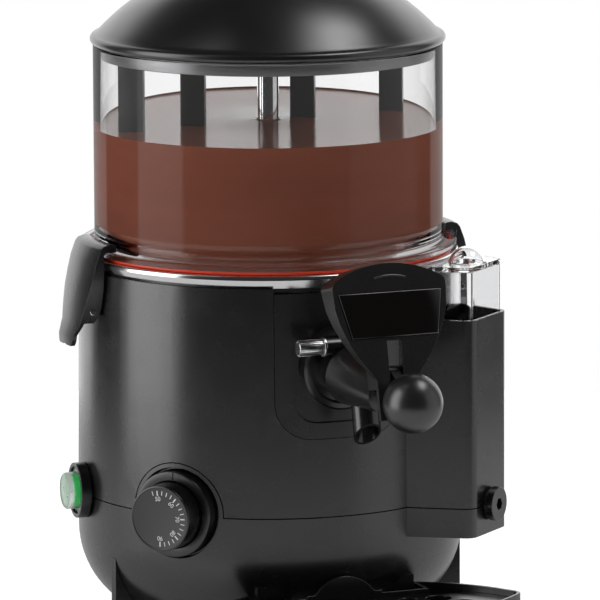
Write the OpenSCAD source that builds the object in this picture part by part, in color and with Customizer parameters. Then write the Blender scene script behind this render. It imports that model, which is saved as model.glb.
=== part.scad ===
// Hot chocolate dispenser: a heated water bath with a stirred clear bowl above it,
// a lever tap at the front, a water filling tower and a lift-out drip tray.
// Millimetres. +Z is up, the tap points along -Y, and the feet stand on z = 0.

/* [Body] */
// Radius of the body at the housing seam
body_r = 125; // [124:0.5:126]
// Height of the seam between base and body housing
seam_z = 101; // [100:0.5:102]
// Top of the body housing
body_top_z = 248.5; // [248:0.5:249]
// Wall of the moulded housings
shell = 3; // [2.5:0.25:3.5]

/* [Bowl and lid] */
// Outer radius of the clear bowl
bowl_r = 113; // [112.6:0.1:113.2]
// Top edge of the clear bowl
bowl_top_z = 389.8; // [388:0.1:390]
// Height of the drink's surface
drink_z = 339; // [320:1:350]
// Radius of the lid's dome
dome_r = 150; // [148:1:153]

/* [Tap] */
// Height of the tap where it leaves the body
tap_z = 198; // [196:1:200]
// Downward slope of the tap barrel
tap_tilt = 5.5; // [4:0.5:7]
// Lean of the tap shield from upright
shield_tilt = 13; // [12:0.5:14]
// Diameter of the ball on the lever
ball_d = 37.5; // [34:0.5:38]

/* [Controls] */
// Angle of the temperature dial, from the front towards +X
dial_angle = -50.4; // [-55:0.2:-48]
// Angle of the power switch
switch_angle = -95; // [-98:0.5:-92]
// Angle of the water tower
tower_angle = 40; // [38:0.5:42]

/* [Drip tray] */
// Height of the tray's rim
tray_z = 50; // [46:1:52]
// Front edge of the tray, from the bowl axis
tray_front = 208; // [200:1:215]

/* [Hidden] */

$fn = 96;
gap = 0.3;            // running gap between separate mouldings
seam_gap = 0.7;       // dark line between the two halves of the body
fit = 0.05;           // radial clearance of a shaft in its bore
cut = 1;              // how far a cutter runs past the face it cuts

// the box of the whole machine is centred on x = 0, y = 0
shift_y = 60.7;

// base housing
body_taper = 1.5;     // the body's top is this much smaller in radius
base_round = 58;      // large bottom rounding
base_round_z = 75;    // height at which the rounding starts
base_hole_r = 50;     // service opening in the bottom

// legs and feet
leg_angles = [-148, -76, 72, 148];
leg_r = 124.3;
leg_in_r = 84;
leg_t = 5;
leg_top_z = 66;
pad_h = 3;

// water tower, in a frame whose second axis points outwards
tower_face_r = 160.5;
tower_face_w = 24.5;
tower_root_r = 100;
tower_slope = 16.9;
tower_corner = 8;
tower_wall = 2.5;
tower_z0 = 82;
tower_z1 = 223;
tank_z0 = 122;
tank_z1 = 253.4;
tank_wall = 2;
tank_lid_h = 3;
tank_dome_r = 12.5;
tank_dome_at = 144;

// parts between the body and the bowl
ring_h = 8;
ring_r = 123.2;
seal_h = 2.5;
seal_z = body_top_z + ring_h;
flange_z = seal_z + seal_h;
flange_h = 3.5;
flange_r = 122;
pan_r = 107.5;
pan_wall = 1.5;
pan_z = 186.5;
bath_r = 119.5;
bath_z = 134.5;
chassis_z = 124;
chassis_r = 121.4;
ledge_r = 118;
link_r = 4;
link_z = 143;

// drive
tube_r = 7;
tube_top_z = 380;
shaft_r = 4;
arm_z = 383;
arm_h = 7;
blade_w = 16;
blade_t = 5;
blade_foot_z = 196;
blade_lean = 35;
blade_r = [-94, -52, 24.5, 88];

// lid
lid_rim_z = bowl_top_z + 0.6;
bead_r = 3.1;
dome_z = 296;
lid_wall = 2.8;
band_h = 8.5;
lid_knob_r = 17;
lid_knob_h = 19;

// dial and switch
dial_z = 102.3;
dial_r = 29.2;
dial_ring_r = 27.6;   // raised ring round the knob
dial_arch_r = 32.7;   // the base housing rises around the dial in an arch
dial_arch_top = 150;
knob_r = 21.2;
switch_z = 103.3;
switch_r = 18;
switch_front = 132;   // front of the switch bezel
button_r = 10.4;

// latches: shells turned round the bowl axis, cut to the outline of a tongue
latch_pin_x = 129;
latch_pin_z = 224.6;
latch_pin_r = 2;
latch_pin_l = 40;
latch_w = 48;
latch_hook_r = 116.9;
latch_hook_z = 263.1;
latch_t = 3;
cheek_t = 2.5;
cheek_in_r = 125;
cheek_z = 217;
lug_w = 25;
lug_r = 3.5;

// tap, in a frame whose third axis runs along the barrel
panel_step = 1.8;     // depth of the recess in the tap panel
tap_f = 124;
collar_r = 27.5;
barrel_z0 = 22;
barrel_z1 = 72;
barrel_r0 = 20;
barrel_r1 = 11.5;
inlet_r = 9;
seat_z = 12;
chamber_r = 12.8;
chamber_z1 = 46;
stem_r = 4;
lever_y = 17;
lever_z = 81;
fork_dip = 12;        // the fork swings from this much below level to as much above
fork_t = 2.2;
fork_tip_r = 2;
plunger_disc_r = 5;
ball_y = 6.5;
ball_z = 115.5;
screw_y = 17.4;
screw_z = 14.2;
screw_head_r = 5.1;
spout_f = 164;
spout_z = 172;
spout_lean = 12;
spout_r = 8.8;
spout_bore = 7.2;

// shield over the lever
shield_f = 208;
shield_z = 234.5;
shield_t = 3;
shield_depth = 24;    // at the top edge, from where the rim tapers
shield_mid_depth = 11.5;
shield_taper = 15.9;

// spring around the tap stem
spring_r = 7.2;
wire_r = 0.8;
spring_z0 = 20.4;
spring_z1 = 57.6;
spring_turns = 8;

// tray
tray_back = 126;
tray_notch_w = 55.5;  // the tray reaches back on both sides of its bracket
tray_h = 36;
tray_wall = 2.5;
tab_r = 24;
tab_z = 38.6;
tab_w = 52;
bracket_w = 108;
bracket_front = 113;
bracket_z0 = 20;
bracket_z1 = 56.6;
prong_x = 36;         // two prongs at the back carry the tray
prong_w = 12;
prong_z = 24;
prong_t = 4;
prong_l = 22;
grid_h = 3;
grid_hole_r = 8;
grid_pitch = 20;

// ---- helpers ----

function arc(c, r, a0, a1, n = 12) =
    [for (i = [0:n]) let (a = a0 + (a1 - a0) * i / n) [c[0] + r * cos(a), c[1] + r * sin(a)]];
function flip(pts) = [for (i = [len(pts) - 1:-1:0]) [-pts[i][0], pts[i][1]]];

module place() { translate([0, shift_y, 0]) children(); }

// a frame on the body: third axis outwards at angle psi, second axis up
module radial(psi, r, z) {
    rotate([0, 0, psi]) translate([0, -r, z]) rotate([90, 0, 0]) children();
}

module tap_frame() { translate([0, -tap_f, tap_z]) rotate([90 + tap_tilt, 0, 0]) children(); }

module shield_frame() {
    translate([0, -shield_f, shield_z]) rotate([90 - shield_tilt, 0, 0]) children();
}

module ring(r0, r1, z0, z1) {
    rotate_extrude() translate([r0, z0]) square([r1 - r0, z1 - z0]);
}

module plate_xz(w) { rotate([90, 0, 0]) linear_extrude(w, center = true) children(); }

// ---- housings ----

// full outer form of the base, grown by g, as a solid
module base_form(g = 0) {
    c = [body_r - base_round, base_round_z];
    rotate_extrude()
        polygon(concat([[0, base_round_z - base_round - g]],
                       arc(c, base_round + g, -90, 0, 20),
                       [[body_r + g, seam_z + g], [0, seam_z + g]]));
}

// the same form carried on upwards into the taper of the body, its surface moved in by inset
module tall_form(inset = 0) {
    c = [body_r - base_round, base_round_z];
    top_z = dial_arch_top + inset;
    rotate_extrude()
        polygon(concat([[0, base_round_z - base_round + inset]],
                       arc(c, base_round - inset, -90, 0, 20),
                       [[body_r - inset, seam_z], [skin_r(top_z) - inset, top_z], [0, top_z]]));
}

function tower_outline(inset = 0) =
    let (cy = tower_face_r - tower_corner,
         cx = tower_face_w + tower_corner * tan(tower_slope) - tower_corner / cos(tower_slope),
         root = tower_face_w + (tower_face_r - tower_root_r) * tan(tower_slope)
                - inset / cos(tower_slope),
         side = arc([cx, cy], tower_corner - inset, tower_slope, 90, 8))
    concat([[root, tower_root_r]], side, flip(side), [[-root, tower_root_r]]);

module tower(z0, z1, inset = 0) {
    rotate([0, 0, tower_angle + 180]) translate([0, 0, z0])
        linear_extrude(z1 - z0) polygon(tower_outline(inset));
}

module dial_arch(r) { radial(dial_angle, 100, dial_z) cylinder(r = r, h = 40); }

module control_holes() {
    radial(switch_angle, 100, switch_z) cylinder(r = switch_r - 3, h = 40);
    radial(tower_angle, 140, seam_z) cylinder(r = 8, h = 40);
}

// everything above the seam, except the arched tongue that surrounds the dial
module above_seam() {
    difference() {
        translate([0, 0, seam_z - seam_gap / 2]) cylinder(r = 200, h = 60);
        dial_arch(dial_arch_r - seam_gap);
    }
}

module base_housing() {
    color("#2b2c2e") place() difference() {
        union() {
            tall_form();
            tower(tower_z0, seam_z);
        }
        tall_form(shell);
        tower(tower_z0 + tower_wall, seam_z + cut, tower_wall);
        above_seam();
        cylinder(r = base_hole_r, h = 40);
        control_holes();
        dial_arch(dial_r + gap);
        radial(180, 100, 70) cylinder(r = 8, h = 40);
        for (a = [45:90:315]) rotate([0, 0, a]) translate([57, 0, 0]) cylinder(r = 1.6, h = 40);
    }
}

// U-shaped outline of the tap panel, open upwards
module panel_outline(half_w, z0, r) {
    c = [half_w - r, z0 + r];
    side = arc(c, r, -90, 0, 10);
    polygon(concat(side, [[half_w, body_top_z + cut]], [[-half_w, body_top_z + cut]], flip(side)));
}

module panel_cutter(half_w, z0, r) {
    rotate([90, 0, 0]) linear_extrude(200) panel_outline(half_w, z0, r);
}

// the body tapers slightly from the seam to its top
function skin_r(z) = body_r - body_taper * (z - seam_z) / (body_top_z - seam_z);

module body_skin(r_off) {
    translate([0, 0, seam_z])
        cylinder(r1 = body_r + r_off, r2 = skin_r(body_top_z) + r_off, h = body_top_z - seam_z);
}

module body_housing() {
    color("#2b2c2e") place() difference() {
        union() {
            body_skin(0);
            tower(seam_z, tower_z1);
        }
        difference() {
            translate([0, 0, -cut]) body_skin(-shell);
            ring(0, body_r, body_top_z - shell, body_top_z);
            ring(ledge_r, body_r, chassis_z - shell, chassis_z);
        }
        ring(0, bath_r - 6, body_top_z - shell - cut, body_top_z + cut);
        difference() {
            tower(seam_z - cut, tower_z1 + cut, tower_wall);
            cylinder(r = body_r - 0.2, h = 300);
        }
        cylinder(r = 300, h = seam_z + seam_gap / 2);
        dial_arch(dial_arch_r);
        intersection() {
            panel_cutter(43, 151.5, 23);
            ring(110, body_r + cut, 100, body_top_z - shell);
        }
        intersection() {
            panel_cutter(43, 151.5, 23);
            ring(bath_r + 1, body_r + cut, 100, body_top_z + cut);
        }
        intersection() {
            radial(180, 80, 165) linear_extrude(60) square([70, 90], center = true);
            ring(110, body_r + cut, 100, 240);
        }
        control_holes();
        link_bore();
    }
}

module bottom_plate() {
    color("#202122") place() difference() {
        translate([0, 0, 14]) cylinder(r = 63, h = 2.8);
        for (a = [45:90:315]) rotate([0, 0, a]) translate([57, 0, 0]) cylinder(r = 1.8, h = 40);
        for (x = [-24:8:24]) translate([x, 0, 0]) linear_extrude(40) square([3, 44], center = true);
    }
}

module base_screws() {
    color("silver") place()
        for (a = [45:90:315]) rotate([0, 0, a]) translate([57, 0, 0]) {
            translate([0, 0, 12]) cylinder(r = 3, h = 1.95, $fn = 48);
            translate([0, 0, 13.9]) cylinder(r = 1.55, h = 8, $fn = 48);
        }
}

module leg_at(a) {
    rotate([0, 0, a]) translate([0, -(leg_in_r + leg_r) / 2, pad_h])
        linear_extrude(leg_top_z) square([leg_t, leg_r - leg_in_r], center = true);
}

module legs() {
    color("#2b2c2e") place() difference() {
        for (a = leg_angles) leg_at(a);
        base_form(0.1);
    }
}

module foot_pads() {
    color("#1a1a1a") place()
        for (a = leg_angles) rotate([0, 0, a]) translate([0, -(leg_in_r + leg_r) / 2, 0])
            linear_extrude(pad_h) square([leg_t - 1, leg_r - leg_in_r - 2], center = true);
}

// ---- tray ----

// the prongs of the tray, or with a clearance the sockets that they slide into
module tray_prongs(grow = 0) {
    for (s = [-1, 1])
        translate([s * prong_x - prong_w / 2 - grow, -tray_back - 1, prong_z - grow])
            cube([prong_w + 2 * grow, prong_l + 1 + grow, prong_t + 2 * grow]);
}

module tray_bracket() {
    color("#1c1d1f") place() difference() {
        translate([-bracket_w / 2, -bracket_front, bracket_z0])
            cube([bracket_w, 30, bracket_z1 - bracket_z0]);
        base_form(0.1);
        tray_prongs(gap);
    }
}

// plan of the tray, second axis forwards, with its wall line moved in by inset
function tray_outline(inset = 0) =
    let (wing_c = [15.7, 193], wing_r = 97.6 - inset,
         notch = tray_notch_w + inset,
         front_c = tray_front - inset - 150,
         side = concat([[notch, tray_back + inset]],
                       arc(wing_c, wing_r, -acos((notch - wing_c[0]) / wing_r), -26, 8),
                       arc([99.5, 159.3], 8 - inset, -24, 44, 8)),
         nose = arc([0, front_c], 150, 47, 90, 14))
    concat(side, nose, flip(nose), flip(side));

module tray_plan(inset = 0) { mirror([0, 1, 0]) polygon(tray_outline(inset)); }

// half-round tab over the middle of the back wall
module tray_tab() {
    translate([0, -tray_back - tray_wall / 2, 0]) plate_xz(tray_wall) {
        translate([-tab_w / 2, tray_z - 8]) square([tab_w, 9.7]);
        difference() {
            translate([0, tab_z]) circle(r = tab_r);
            translate([-tab_r, tab_z - tab_r]) square([2 * tab_r, tray_z - 4 - tab_z + tab_r]);
        }
    }
}

module drip_tray() {
    color("#232426") place() difference() {
        union() {
            difference() {
                translate([0, 0, tray_z - tray_h]) linear_extrude(tray_h) tray_plan();
                difference() {
                    translate([0, 0, tray_z - tray_h + tray_wall])
                        linear_extrude(tray_h) tray_plan(tray_wall);
                    base_form(gap + tray_wall);
                }
            }
            // ledge that carries the grid
            difference() {
                translate([0, 0, tray_z - 10]) linear_extrude(2.5) tray_plan(tray_wall - 0.01);
                translate([0, 0, tray_z - 11]) linear_extrude(6) tray_plan(tray_wall + 3);
            }
            tray_prongs();
            tray_tab();
        }
        base_form(gap);
    }
}

module drip_grid() {
    rim = tray_wall + 0.5;
    back = tray_back + rim;
    row_h = grid_pitch * 0.87;
    color("#2c2d2f") place() difference() {
        translate([0, 0, tray_z - 7.3]) linear_extrude(grid_h) tray_plan(rim);
        translate([-120, -back, 0]) cube([240, 60, 60]);
        for (i = [-5:5], j = [0:6])
            let (x = (i + (j % 2) / 2) * grid_pitch, y = back + grid_hole_r + 2.5 + j * row_h)
                if (abs(x) < (y < 160 ? 66 + (y - 131) * 0.85 : y < 215 ? 92 : 76)
                    && norm([x, y - (tray_front - 150)]) < 136)
                    translate([x, -y, tray_z - 9]) cylinder(r = grid_hole_r, h = 10, $fn = 48);
    }
}

// ---- tap panel and rear panel ----

module tap_panel() {
    color("#242527") place() difference() {
        intersection() {
            panel_cutter(42.6, 151.9, 22.6);
            difference() {
                body_skin(0.2);
                body_skin(-shell);
            }
            cylinder(r = 200, h = body_top_z - shell - gap);
        }
        difference() {
            panel_cutter(32, 162, 16);
            body_skin(-panel_step);
        }
        tap_frame() translate([0, 0, -20]) cylinder(r = 15, h = 60);
    }
}

module rear_vent_panel() {
    color("#242527") place() difference() {
        intersection() {
            radial(180, 80, 165) linear_extrude(60) square([69.4, 89.4], center = true);
            difference() {
                body_skin(0.4);
                body_skin(-shell);
            }
        }
        for (z = [136:8:196]) radial(180, 100, z) linear_extrude(40) square([50, 3.2], center = true);
    }
}

// ---- bowl group ----

module rim_ring() {
    color("silver") place() rotate_extrude() polygon(concat(
        [[pan_r + 0.3, body_top_z], [ring_r - 1, body_top_z]],
        arc([ring_r - 1.5, body_top_z + 1.5], 1.5, -60, 20, 4),
        [[ring_r - 0.8, body_top_z + 4]],
        arc([ring_r - 1.2, seal_z - 1.2], 1.2, 0, 90, 4),
        [[pan_r + 4.6, seal_z], [pan_r + 4.6, seal_z - 1.6], [pan_r + 0.3, seal_z - 1.6]]));
}

module bowl_seal() {
    color("#e23c1e") place() rotate_extrude()
        translate([109, seal_z]) square([9.5, seal_h]);
}

module bowl() {
    color([0.85, 0.9, 0.92, 0.35]) place() rotate_extrude() polygon(concat(
        [[107, flange_z], [flange_r, flange_z]],
        [[flange_r, flange_z + flange_h], [bowl_r + 3, flange_z + flange_h]],
        arc([bowl_r + 4, flange_z + flange_h + 4], 4, 250, 180, 5),
        [[bowl_r, bowl_top_z], [bowl_r - 3, bowl_top_z]],
        [[bowl_r - 3, flange_z + 16]],
        arc([bowl_r - 15, flange_z + 16], 12, 0, -40, 6),
        [[107, flange_z + 3]]));
}

module product_pan() {
    color("silver") place() difference() {
        rotate_extrude() polygon(concat(
            [[tube_r + 0.05, pan_z], [pan_r - 8, pan_z]],
            arc([pan_r - 8, pan_z + 8], 8, -90, 0, 6),
            [[pan_r, seal_z - 1.6], [pan_r + 4, seal_z - 1.6], [pan_r + 4, seal_z]],
            [[pan_r - pan_wall, seal_z]],
            arc([pan_r - 8, pan_z + 8], 8 - pan_wall, 0, -90, 6),
            [[tube_r + 0.05, pan_z + pan_wall]]));
        tap_frame() translate([0, 0, -24]) cylinder(r = inlet_r, h = 20);
    }
}

module water_bath_tank() {
    color("#c4c7ca") place() difference() {
        ring(tube_r + 0.05, bath_r, bath_z, body_top_z - shell - 0.1);
        ring(tube_r - cut, bath_r - 1.5, bath_z + 1.5, body_top_z - shell - 1.6);
        ring(tube_r - cut, bath_r - 6, bath_z + 3, body_top_z);
        tap_frame() translate([0, 0, -24]) cylinder(r = 13.05, h = 40);
        link_bore();
        for (x = [-12, 12]) translate([x, 80, 0]) cylinder(r = 4.1, h = 200);
    }
}

module heating_element() {
    color("#8d8f92") place() {
        difference() {
            translate([0, 0, bath_z + 12]) rotate_extrude() translate([80, 0]) circle(r = 4);
            translate([0, 85, bath_z]) cube([22, 30, 40], center = true);
        }
        for (x = [-12, 12]) translate([x, 80, chassis_z - 10]) cylinder(r = 4, h = bath_z - chassis_z + 22);
    }
}

module chassis_plate() {
    color("#9a9da0") place() difference() {
        translate([0, 0, chassis_z]) cylinder(r = chassis_r, h = 3);
        radial(dial_angle, 112, dial_z) cylinder(r = dial_r + 1, h = 20);
        translate([0, 0, chassis_z - cut]) cylinder(r = 10, h = 6);
        for (x = [-12, 12]) translate([x, 80, 0]) cylinder(r = 5, h = 200);
        rotate([0, 0, dial_angle]) translate([0, -104, 0]) cylinder(r = 4, h = 200);
        rotate([0, 0, tower_angle]) translate([0, -112, chassis_z]) cylinder(r = 12, h = 20, center = true);
    }
}

module link_bore() { radial(tower_angle, 112, link_z) cylinder(r = link_r + fit, h = 16.5, $fn = 48); }

// short pipe that levels the filling tower with the water bath
module link_pipe() {
    color("silver") place() radial(tower_angle, 0, link_z)
        ring(link_r - 1, link_r, 117, 128.2);
}

module standoffs() {
    color("silver") place()
        for (a = [0:120:240]) rotate([0, 0, a]) translate([0, -100, chassis_z + 3])
            cylinder(r = 5, h = bath_z - chassis_z - 3, $fn = 48);
}

module gear_motor() {
    color("#6d7073") place() difference() {
        union() {
            translate([-34, -22, chassis_z - 30]) cube([68, 56, 30]);
            translate([0, 12, 46]) cylinder(r = 28, h = chassis_z - 30 - 46);
            translate([0, 12, 38]) cylinder(r = 9, h = 10);
        }
        translate([0, 0, chassis_z - 26]) cylinder(r = shaft_r + fit, h = 40);
    }
}

module centre_tube() {
    color("#d9dadc") place() ring(tube_r - 1.8, tube_r, bath_z, tube_top_z);
}

module drive_shaft() {
    color("#b9bbbe") place() translate([0, 0, chassis_z - 25])
        cylinder(r = shaft_r, h = arm_z + 10 - chassis_z + 25);
}

module stirrer_hub() {
    color("#26272a") place() difference() {
        union() {
            translate([0, 0, arm_z - 2]) cylinder(r = 13, h = arm_h + 2);
            translate([0, 0, arm_z + arm_h]) cylinder(r1 = 11, r2 = 8, h = 10);
        }
        translate([0, 0, arm_z - 5]) cylinder(r = shaft_r + 0.01, h = 15);
        translate([-14.5, -6.2, arm_z]) cube([3, 12.4, 20]);
        translate([11.5, -6.2, arm_z]) cube([3, 12.4, 20]);
    }
}

module blade_plan(r, grow = 0) {
    translate([r, 0]) rotate(-blade_lean) square([blade_w + 2 * grow, blade_t + 2 * grow], center = true);
}

module stirrer_paddle() {
    color("#1f2022") place() {
        for (r = blade_r)
            translate([0, 0, blade_foot_z]) linear_extrude(arm_z + arm_h - blade_foot_z) blade_plan(r);
        for (s = [-1, 1])
            let (r_in = 11.5, r_out = s < 0 ? 98 : 92)
                translate([s < 0 ? -r_out : r_in, -6, arm_z]) cube([r_out - r_in, 12, arm_h]);
    }
}

module hot_chocolate() {
    floor_z = pan_z + pan_wall + 0.3;
    r0 = pan_r - pan_wall - 0.3;
    color("#643a2e") place() difference() {
        rotate_extrude() polygon(concat(
            [[tube_r + 0.3, floor_z], [r0 - 6, floor_z]],
            arc([r0 - 6, floor_z + 6], 6, -90, 0, 5),
            [[r0, flange_z + 3]],
            arc([bowl_r - 15.3, flange_z + 16], 12, -38, 0, 6),
            [[bowl_r - 3.3, drink_z], [tube_r + 0.3, drink_z]]));
        for (r = blade_r)
            translate([0, 0, blade_foot_z - 0.4]) linear_extrude(300) blade_plan(r, 0.4);
    }
}

module lid() {
    rim = lid_rim_z;
    a_out = acos((bowl_r - 2.6) / dome_r);
    a_in = acos((bowl_r - 6) / (dome_r - lid_wall));
    color("#2a2b2d") place() rotate_extrude() polygon(concat(
        [[bowl_r - 6, rim], [bowl_r - 1, rim]],
        arc([bowl_r - 1.2, rim + bead_r], bead_r, -90, 80, 10),
        arc([0, dome_z], dome_r, a_out, 90, 30),
        arc([0, dome_z], dome_r - lid_wall, 90, a_in, 30)));
}

module lid_band() {
    color("#8b8d90") place() ring(bowl_r - 6, bowl_r - 3.8, lid_rim_z - band_h, lid_rim_z - 0.05);
}

// turned knob on the top of the dome
module lid_knob() {
    top = dome_z + dome_r;
    color("#242527") place() difference() {
        rotate_extrude() polygon(concat(
            [[0, top - 3], [lid_knob_r - 4, top - 3], [lid_knob_r - 6.5, top + 4]],
            arc([lid_knob_r - 3, top + lid_knob_h - 7], 3, -60, 20, 5),
            arc([lid_knob_r - 8, top + lid_knob_h - 6], 6, 30, 90, 6),
            [[0, top + lid_knob_h]]));
        translate([0, 0, dome_z]) sphere(r = dome_r + 0.01);
    }
}

// ---- controls ----

module dial_bezel() {
    color("#1f2022") place() radial(dial_angle, 0, dial_z) difference() {
        union() {
            translate([0, 0, 117]) cylinder(r = dial_r, h = 2.5);
            translate([0, 0, 119]) cylinder(r = dial_ring_r, h = 11.5);
        }
        translate([0, 0, 125.5]) cylinder(r = knob_r + 0.6, h = 10);
        translate([0, 0, 100]) cylinder(r = 4.2, h = 40);
    }
}

module dial_knob() {
    color("#27282a") place() radial(dial_angle, 0, dial_z) difference() {
        union() {
            translate([0, 0, 126]) cylinder(r = knob_r, h = 19.9);
            translate([0, 0, 113]) cylinder(r = 3, h = 14);
        }
        translate([0, 0, 145.4]) cylinder(r = knob_r - 1.6, h = 10);
    }
}

module thermostat() {
    color("#b7a98a") place() radial(dial_angle, 0, dial_z) difference() {
        union() {
            translate([-19, -19, 84]) cube([38, 38, 25]);
            translate([0, 0, 108.9]) cylinder(r = 6, h = 7.8);
        }
        translate([0, 0, 112.5]) cylinder(r = 3 + fit, h = 20);
    }
}

module thermostat_bulb() {
    color("#b87345") place() rotate([0, 0, dial_angle]) translate([0, -104, 0]) {
        translate([0, 0, bath_z + 1.6]) cylinder(r = 3.2, h = 40);
    }
}

module switch_bezel() {
    color("#1f2022") place() radial(switch_angle, 0, switch_z) difference() {
        union() {
            translate([0, 0, 108]) cylinder(r = switch_r - 3.3, h = 18);
            translate([0, 0, body_r + 0.3]) cylinder(r = switch_r, h = switch_front - body_r - 0.3);
        }
        translate([0, 0, 112]) cylinder(r = button_r + gap, h = 30);
        translate([0, 0, switch_front - 3]) cylinder(r = switch_r - 2.6, h = 10);
    }
}

module power_button() {
    color([0.25, 0.8, 0.35]) place() radial(switch_angle, 0, switch_z) {
        translate([0, 0, 116]) cylinder(r = button_r, h = switch_front + 3 - 116);
    }
}

module switch_cap() {
    color([0.9, 0.95, 0.95, 0.4]) place() radial(switch_angle, 0, switch_z) difference() {
        union() {
            translate([0, 0, switch_front - 2.9]) cylinder(r = switch_r - 3, h = 1.2);
            translate([0, 0, switch_front - 2]) cylinder(r = button_r + 1.6, h = 10);
        }
        translate([0, 0, body_r]) cylinder(r = button_r + 0.4, h = switch_front + 6 - body_r);
    }
}

// ---- latches ----

// section of the latch through the bowl axis: first axis outwards, second axis up.
// The outer face runs from the hook's back down to the lip at the tip, moved in by inset.
function latch_face(inset = 0) =
    [for (p = [[127.2, 265], [130.2, 257], [132.6, 247], [134.8, 237], [136.5, 227], [138.1, 216.5],
               [141.2, 208.5], [141.6, 202]]) [p[0] - inset, p[1]]];

module latch_skin_section() {
    face_in = latch_face(latch_t);
    polygon(concat(
        arc([latch_hook_r + 1.5, latch_hook_z + 3.7], 1.5, 180, 90, 4),
        [[121.2, 268.6], [125.4, 267.2]],
        latch_face(),
        [for (i = [len(face_in) - 1:-1:1]) face_in[i]],
        [[124.6, latch_hook_z], [latch_hook_r, latch_hook_z]]));
}

// the two side walls reach in from the outer face to just clear of the body
module latch_cheek_section() {
    polygon(concat(
        [[cheek_in_r, 263.5]], latch_face(0.5),
        [[137, cheek_z], [128.2, cheek_z], [cheek_in_r + 0.6, cheek_z + 5], [cheek_in_r, cheek_z + 10]]));
}

// outline of the latch seen from outside, first axis sideways, with its sides moved in by inset
module latch_tongue(inset = 0) {
    half = concat([[latch_w / 2 - inset, 270], [latch_w / 2 - inset, 248]],
                  [[23 - inset, 239], [20.9 - inset, 230.5], [18.2 - inset, 221.5], [15.5 - inset, 214]],
                  arc([4.6, 208.2], 8.3 - inset, 8, -70, 6));
    translate([100, 0, 0]) rotate([90, 0, 90]) linear_extrude(60)
        polygon(concat(half, [[0, 202.9 + inset]], flip(half)));
}

// part of the body of revolution that lies around the latch
module latch_turning() { rotate([0, 0, -15]) rotate_extrude(angle = 30) children(); }

module latch_shape() {
    difference() {
        union() {
            intersection() {
                latch_tongue();
                latch_turning() latch_skin_section();
            }
            difference() {
                intersection() {
                    latch_tongue();
                    latch_turning() latch_cheek_section();
                }
                latch_tongue(cheek_t);
            }
        }
        translate([latch_pin_x, 0, latch_pin_z]) rotate([90, 0, 0])
            cylinder(r = latch_pin_r + fit, h = 60, center = true, $fn = 48);
    }
}

module latch_right() { color("#1d1e20") place() latch_shape(); }
module latch_left() { color("#1d1e20") place() mirror([1, 0, 0]) latch_shape(); }

module bracket_shape() {
    difference() {
        union() {
            translate([latch_pin_x, 0, latch_pin_z]) rotate([90, 0, 0])
                cylinder(r = lug_r, h = lug_w, center = true, $fn = 48);
            translate([latch_pin_x - 9, -lug_w / 2, latch_pin_z - lug_r]) cube([9, lug_w, 2 * lug_r]);
        }
        body_skin(0.02);
        translate([latch_pin_x, 0, latch_pin_z]) rotate([90, 0, 0])
            cylinder(r = latch_pin_r + 0.01, h = 60, center = true, $fn = 48);
    }
}

module latch_bracket_right() { color("#1d1e20") place() bracket_shape(); }
module latch_bracket_left() { color("#1d1e20") place() mirror([1, 0, 0]) bracket_shape(); }

module latch_pin(side) {
    color("silver") place() translate([side * latch_pin_x, 0, latch_pin_z]) rotate([90, 0, 0])
        cylinder(r = latch_pin_r, h = latch_pin_l, center = true, $fn = 48);
}

module latch_pin_left() { latch_pin(-1); }
module latch_pin_right() { latch_pin(1); }

// ---- tap ----

// turned body of the tap: collar, neck and tapering barrel
module tap_turning() {
    rotate_extrude() polygon(concat(
        [[0, -18], [13, -18], [13, -6], [collar_r - 1, -6], [collar_r, -5], [collar_r, 5]],
        [[collar_r - 1.5, 6.5], [23, 6.5], [22, 3], [18, 3], [18, barrel_z0 - 1.5]],
        [[barrel_r0, barrel_z0], [barrel_r1, barrel_z1], [0, barrel_z1]]));
}

// ears that carry the lever pin
module tap_ears() {
    for (s = [-1, 1]) translate([s * 7.2, 0, 0]) rotate([90, 0, 90])
        linear_extrude(3.6, center = true)
            polygon(concat([[8, 58], [8, barrel_z1]],
                           arc([lever_y, lever_z], 4.6, 180, -20, 12), [[13, 60]]));
}

module tap_bores() {
    rotate_extrude() polygon([[0, -25], [inlet_r, -25], [inlet_r, seat_z], [chamber_r, seat_z],
        [chamber_r, chamber_z1], [10, chamber_z1], [10, 58], [7, 58], [7, 80], [0, 80]]);
    translate([0, lever_y, lever_z]) rotate([0, 90, 0])
        cylinder(r = 2.01, h = 40, center = true, $fn = 48);
    translate([-19, screw_y, screw_z]) rotate([0, 90, 0]) cylinder(r = 3.05, h = 15, $fn = 48);
}

module tap_body() {
    color("#26272a") place() difference() {
        union() {
            tap_frame() {
                tap_turning();
                tap_ears();
                translate([-18, screw_y, screw_z]) rotate([0, 90, 0]) cylinder(r = 5.5, h = 36);
            }
            spout_tube(spout_r, 22, 40);
        }
        tap_frame() tap_bores();
        spout_tube(spout_bore, 8, 60);
        // slanted mouth of the spout
        translate([0, -165.5, 160.5]) rotate([-47, 0, 0])
            translate([-20, -30, -40]) cube([40, 60, 40]);
        // back of the collar follows the round panel
        difference() {
            body_skin(0.1 - panel_step);
            tap_frame() translate([0, 0, -30]) cylinder(r = 13, h = 60);
        }
        cylinder(r = pan_r + 0.02, h = 300);
    }
}

// the spout's axis, leaning forwards on its way down
module spout_tube(r, up, down) {
    translate([0, -spout_f, spout_z]) rotate([-spout_lean, 0, 0]) translate([0, 0, -down])
        cylinder(r = r, h = up + down - 8);
}

module stem_gland() {
    color("#3a3b3d") place() tap_frame() {
        ring(stem_r + fit, 6.98, 58.2, barrel_z1);
    }
}

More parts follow.
